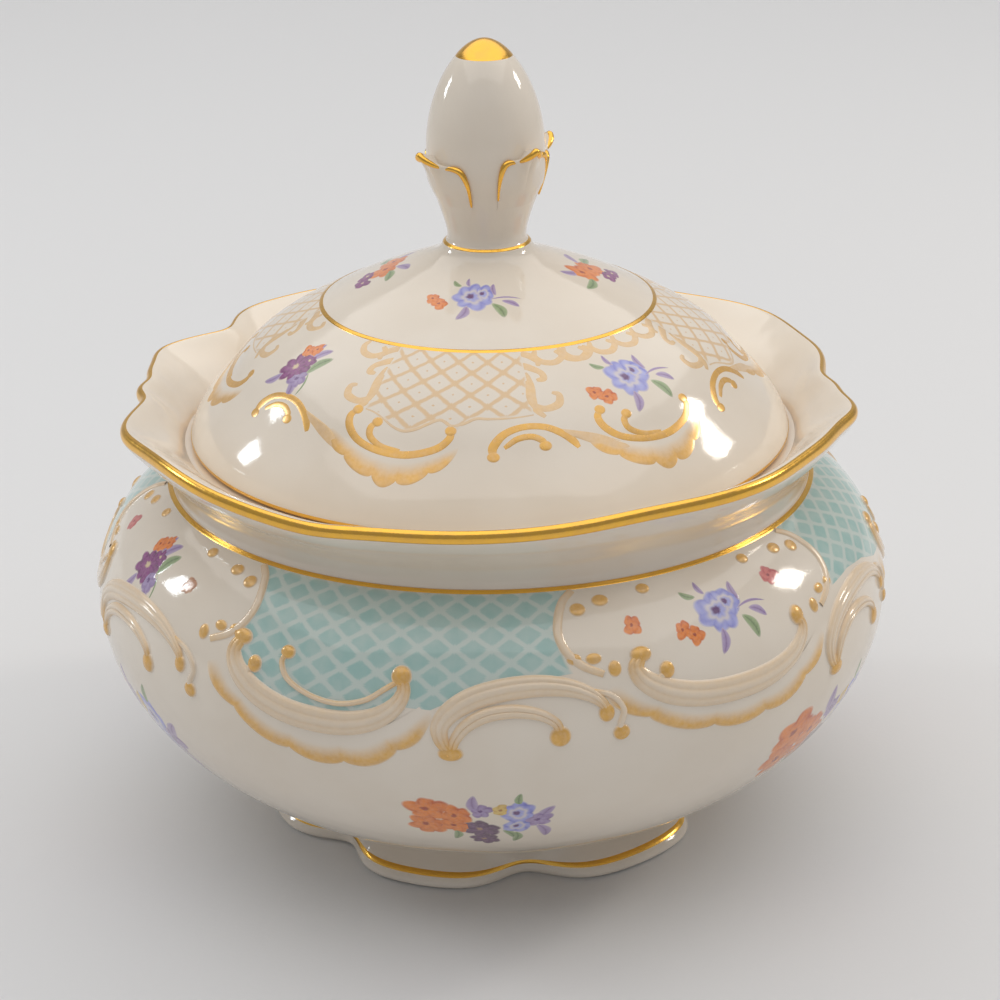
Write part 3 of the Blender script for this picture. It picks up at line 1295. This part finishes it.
class SUGARBOWL_OT_gilding(bpy.types.Operator):
    """Add the gold edges and lines"""

    bl_idname = "sugarbowl.gilding"
    bl_label = "Gold edges and lines"

    def execute(self, context):
        s = context.scene.sugar_bowl_sizes
        gold = gold_material(context.scene.sugar_bowl_colours)
        belly = Turned(belly_profile(s))
        dome = Turned(dome_profile(s))
        bud = Turned(bud_profile(s))
        rim = rim_profile(s)
        foot = foot_profile(s)
        on_lip = (rim[:, 1] > LIP_Z - s.rim_gilt) & (rim[:, 0] > s.rim_r - s.rim_gilt_over)
        on_hem = (foot[:, 1] > HEM_GILT[0]) & (foot[:, 1] < HEM_GILT[1])
        edge = with_share(lid_edge_profile(s, 80))
        on_edge = (edge[:, 1] > LID_Z + EDGE_GILT[0]) & (edge[:, 1] < LID_Z + EDGE_GILT[1])
        ring_along = np.interp(-s.lid_ring_r, -dome.radii, dome.run)
        tip_along = np.interp(TIP_Z - TIP_GILT, bud.heights, bud.run)
        share = column(24)
        lift = s.gilt * (1 - 2 * (1 - share) ** 8)
        tip = patch(bud.place(turn(CAP_COLUMNS)[None], tip_along + (bud.length - tip_along) * share, lift))
        neck = line_band(belly, belly.length - NECK_DROP, s.line, s.gilt)
        ring = line_band(dome, ring_along, s.line * RING_SHARE, s.gilt)
        collar = line_band(bud, COLLAR_RISE, s.line * COLLAR_SHARE, s.gilt)
        bands = (
            ("rim_gold", "bowl", "rim_gilding", skin_band(rim, rim_wave(s), on_lip, s.gilt, rise=rim_rise)),
            ("neck_gold", "bowl", "neck_gilding", neck),
            ("foot_gold", "bowl", "foot_gilding", skin_band(foot, foot_wave(s), on_hem, s.gilt)),
            ("lid_edge_gold", "lid", "lid_edge_gilding", skin_band(edge, None, on_edge, s.gilt)),
            ("lid_ring_gold", "lid", "lid_ring_gilding", ring),
            ("collar_gold", "lid", "collar_gilding", collar),
            ("tip_gold", "lid", "tip_gilding", tip),
        )
        for name, body, node, made in bands:
            build(name, body, "gilding", [made], gold, node)
        return {"FINISHED"}


class SUGARBOWL_OT_bowl_decor(bpy.types.Operator):
    """Add the trellis panels, the moulded scrolls and the painted flowers of the bowl"""

    bl_idname = "sugarbowl.bowl_decor"
    bl_label = "Decoration of the bowl"

    def execute(self, context):
        s = context.scene.sugar_bowl_sizes
        colours = context.scene.sugar_bowl_colours
        belly = Turned(belly_profile(s))
        build("trellis_panels", "bowl", "porcelain", panel_patches(belly), trellis_material(colours))
        build("moulded_scrolls", "bowl", "porcelain", scroll_patches(belly, s), relief_material(colours, 0.2))
        flowers = []
        for turned in (0.0, 180.0):
            for azimuth, along, items, scale in BOWL_SPRAYS:
                flowers += spray(belly, azimuth + turned, along, items, scale)
            for number, (azimuth, along, reach, hue) in enumerate(BOWL_BLOSSOMS):
                flowers.append(flower(belly, azimuth + turned, along, (0.0, 0.0), reach, 4, hue, 5 + number))
        for azimuth, along, scale in GREAT_SPRAYS_AT:
            for turned in (0.0, 180.0):
                flowers += spray(belly, azimuth + turned, along, GREAT_SPRAY, scale)
        build("bowl_flowers", "bowl", "porcelain", flowers, enamel_material(colours))
        return {"FINISHED"}


class SUGARBOWL_OT_lid_decor(bpy.types.Operator):
    """Add the gold scrolls, the lattices and the painted flowers of the lid"""

    bl_idname = "sugarbowl.lid_decor"
    bl_label = "Decoration of the lid"

    def execute(self, context):
        s = context.scene.sugar_bowl_sizes
        colours = context.scene.sugar_bowl_colours
        dome = Turned(dome_profile(s))
        build("gold_lattices", "lid", "porcelain", lattice_patches(dome), lattice_material(colours))
        build("gold_scrolls", "lid", "gilding", lid_gold_patches(dome, s), relief_material(colours, 0.35))
        flowers = []
        for turned in (0.0, 180.0):
            for azimuth, along, items, scale in LID_SPRAYS:
                flowers += spray(dome, azimuth + turned, along, items, scale)
        build("lid_flowers", "lid", "porcelain", flowers, enamel_material(colours))
        return {"FINISHED"}


# Lamps: name, place and extent in metres, watts, tint.
LAMPS = (
    ("window_left", (-0.66, 0.24, 0.34), (0.09, 0.14), 0.6, (0.90, 0.96, 1.0)),
    ("window_right", (0.66, 0.20, 0.42), (0.11, 0.13), 0.9, (1.0, 0.93, 0.84)),
    ("overhead", (0.0, 0.15, 1.1), (2.2, 2.2), 15.0, (1.0, 0.97, 0.93)),
)
LAMP_TARGET = (0.0, 0.0, 0.06)
# Light of the room: colour and strength.
ROOM_LIGHT = ((0.9, 0.93, 1.0, 1.0), 0.36)
# Floor and wall in one sweep, in metres: its front edge, where it turns up, radius of the turn, its top
# edge and half its width.
SWEEP_FRONT = -1.2
SWEEP_BACK = 1.0
SWEEP_TURN = 0.5
SWEEP_TOP = 1.6
SWEEP_SIDE = 2.0
# Camera: place in millimetres; pitch, roll and yaw in radians; focal length per frame width.
CAMERA = ((0.0, -399.7, 214.9), 0.3868, -0.0142, -0.0037, 2.6009)


class SUGARBOWL_OT_stage(bpy.types.Operator):
    """Add the floor, the lights and the camera"""

    bl_idname = "sugarbowl.stage"
    bl_label = "Stage"

    def execute(self, context):
        scene = context.scene
        turned = np.linspace(0.1, pi / 2, 16)
        floor = np.linspace(SWEEP_FRONT, SWEEP_BACK, 12)
        wall = np.linspace(SWEEP_TURN + 0.1, SWEEP_TOP, 6)
        bend = SWEEP_BACK + SWEEP_TURN * np.sin(turned)
        away = np.concatenate([floor, bend, np.full_like(wall, SWEEP_BACK + SWEEP_TURN)])
        high = np.concatenate([np.zeros_like(floor), SWEEP_TURN - SWEEP_TURN * np.cos(turned), wall])
        x, y = np.meshgrid(np.linspace(-SWEEP_SIDE, SWEEP_SIDE, 9), away)
        z = high[:, None] + 0 * x
        mesh = bpy.data.meshes.new("pale_sweep")
        points = np.stack([x, y, z], axis=-1).reshape(-1, 3)
        mesh.from_pydata(points.tolist(), [], quads(*x.shape).tolist())
        mesh.shade_smooth()
        mesh.materials.append(floor_material(scene.sugar_bowl_colours))
        sweep = bpy.data.objects.new("pale_sweep", mesh)
        scene.collection.objects.link(sweep)
        for lamp in LAMPS:
            soft_light(*lamp)
        world = bpy.data.worlds.new("soft_room")
        world.use_nodes = True
        room = world.node_tree.nodes["Background"].inputs
        room["Color"].default_value, room["Strength"].default_value = ROOM_LIGHT
        scene.world = world
        scene.view_settings.view_transform = "Standard"
        scene.camera = pinhole(*CAMERA)
        return {"FINISHED"}


def soft_light(name, place, extent, power, tint):
    """Rectangular lamp that faces the bowl."""
    lamp = bpy.data.lights.new(name, "AREA")
    lamp.shape = "RECTANGLE"
    lamp.size, lamp.size_y = extent
    lamp.energy = power
    lamp.color = tint
    holder = bpy.data.objects.new(name, lamp)
    holder.location = place
    holder.rotation_euler = (Vector(LAMP_TARGET) - Vector(place)).to_track_quat("-Z", "Y").to_euler()
    bpy.context.scene.collection.objects.link(holder)


def pinhole(place, pitch, roll, yaw, reach):
    """Camera at a place, pitched down, rolled and turned; reach is its focal length per frame width."""
    level = Vector((cos(yaw), sin(yaw), 0.0))
    ahead = Vector((-sin(yaw), cos(yaw), 0.0))
    forward = ahead * cos(pitch) - Vector((0.0, 0.0, sin(pitch)))
    upright = ahead * sin(pitch) + Vector((0.0, 0.0, cos(pitch)))
    right = level * cos(roll) + upright * sin(roll)
    up = upright * cos(roll) - level * sin(roll)
    lens = bpy.data.cameras.new("camera")
    lens.sensor_width = 36.0
    lens.lens = reach * lens.sensor_width
    lens.clip_start = 0.01
    holder = bpy.data.objects.new("camera", lens)
    turned = Matrix((right, up, -forward)).transposed().to_4x4()
    holder.matrix_world = Matrix.Translation(Vector(place) * MM) @ turned
    bpy.context.scene.collection.objects.link(holder)
    return holder


class SUGARBOWL_PT_panel(bpy.types.Panel):
    """Buttons for the pieces, and their sizes and colours"""

    bl_idname = "SUGARBOWL_PT_panel"
    bl_label = "Sugar Bowl"
    bl_space_type = "VIEW_3D"
    bl_region_type = "UI"
    bl_category = "Sugar Bowl"

    def draw(self, context):
        for operator in OPERATORS:
            self.layout.operator(operator.bl_idname)
        for group in (context.scene.sugar_bowl_sizes, context.scene.sugar_bowl_colours):
            for name in group.bl_rna.properties.keys():
                if name not in ("rna_type", "name"):
                    self.layout.prop(group, name)


OPERATORS = (
    SUGARBOWL_OT_stage,
    SUGARBOWL_OT_bowl,
    SUGARBOWL_OT_lid,
    SUGARBOWL_OT_finial,
    SUGARBOWL_OT_gilding,
    SUGARBOWL_OT_bowl_decor,
    SUGARBOWL_OT_lid_decor,
)
CLASSES = (SugarBowlSizes, SugarBowlColours, *OPERATORS, SUGARBOWL_PT_panel)


def register():
    """Register the classes and add their settings to the scene."""
    for cls in CLASSES:
        bpy.utils.register_class(cls)
    bpy.types.Scene.sugar_bowl_sizes = bpy.props.PointerProperty(type=SugarBowlSizes)
    bpy.types.Scene.sugar_bowl_colours = bpy.props.PointerProperty(type=SugarBowlColours)


def unregister():
    """Take the settings and the classes away again."""
    del bpy.types.Scene.sugar_bowl_colours
    del bpy.types.Scene.sugar_bowl_sizes
    for cls in reversed(CLASSES):
        bpy.utils.unregister_class(cls)


def main():
    """Register the classes, make every piece and note how large the object is before and after."""
    register()
    bpy.ops.sugarbowl.stage()
    bpy.ops.sugarbowl.bowl()
    bpy.ops.sugarbowl.lid()
    bpy.ops.sugarbowl.finial()
    bpy.ops.sugarbowl.gilding()
    bpy.ops.sugarbowl.bowl_decor()
    bpy.ops.sugarbowl.lid_decor()


if __name__ == "__main__":
    main()
